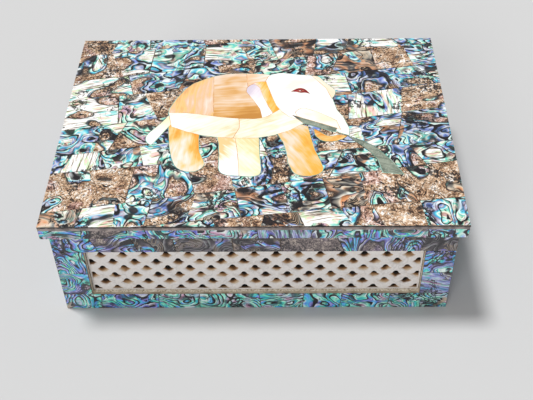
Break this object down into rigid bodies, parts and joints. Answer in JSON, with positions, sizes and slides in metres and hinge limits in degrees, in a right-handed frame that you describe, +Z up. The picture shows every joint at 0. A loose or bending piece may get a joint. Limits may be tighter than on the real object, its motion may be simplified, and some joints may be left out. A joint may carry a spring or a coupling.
{
  "type": "marble jewelry box",
  "caption": "Rectangular marble jewelry box with pierced lattice sides, abalone shell tiles and a lift-off lid inlaid with an elephant.",
  "frame": {"origin": "centre of the underside, on the surface that the box stands on", "axes": "+X along the length, to the right seen from the front; +Y to the back; +Z up through the lid"},
  "size_m": [0.203, 0.152, 0.0645],
  "materials": {
    "white_marble": "satin",
    "abalone_shell": "polished",
    "pearl_white": "polished",
    "pearl_cream": "polished",
    "pearl_orange": "polished",
    "pearl_peach": "polished",
    "pearl_lavender": "polished",
    "green_stone": "gloss",
    "red_stone": "gloss"
  },
  "bodies": {
    "root": {"marble_body": "white_marble", "front_lattice": "white_marble", "back_lattice": "white_marble", "lid_slab": "white_marble", "front_shell_facing": "abalone_shell", "back_shell_facing": "abalone_shell", "left_shell_facing": "abalone_shell", "right_shell_facing": "abalone_shell", "lid_front_edge": "abalone_shell", "lid_back_edge": "abalone_shell", "lid_left_edge": "abalone_shell", "lid_right_edge": "abalone_shell", "lid_mosaic": "abalone_shell", "eye_pupil": "pearl_white", "eye": "red_stone", "trunk_curl": "pearl_orange", "branch_root": "green_stone", "branch_tip": "green_stone", "tusk": "pearl_cream", "forehead": "pearl_cream", "head": "pearl_white", "front_belly_band": "pearl_white", "rear_belly_band": "pearl_white", "tail": "pearl_cream", "shoulder": "pearl_lavender", "neck": "pearl_orange", "withers": "pearl_peach", "flank": "pearl_orange", "rump": "pearl_peach", "hind_leg": "pearl_orange", "second_hind_leg": "pearl_cream", "second_fore_leg": "pearl_cream", "fore_leg": "pearl_orange"}
  },
  "joints": []
}
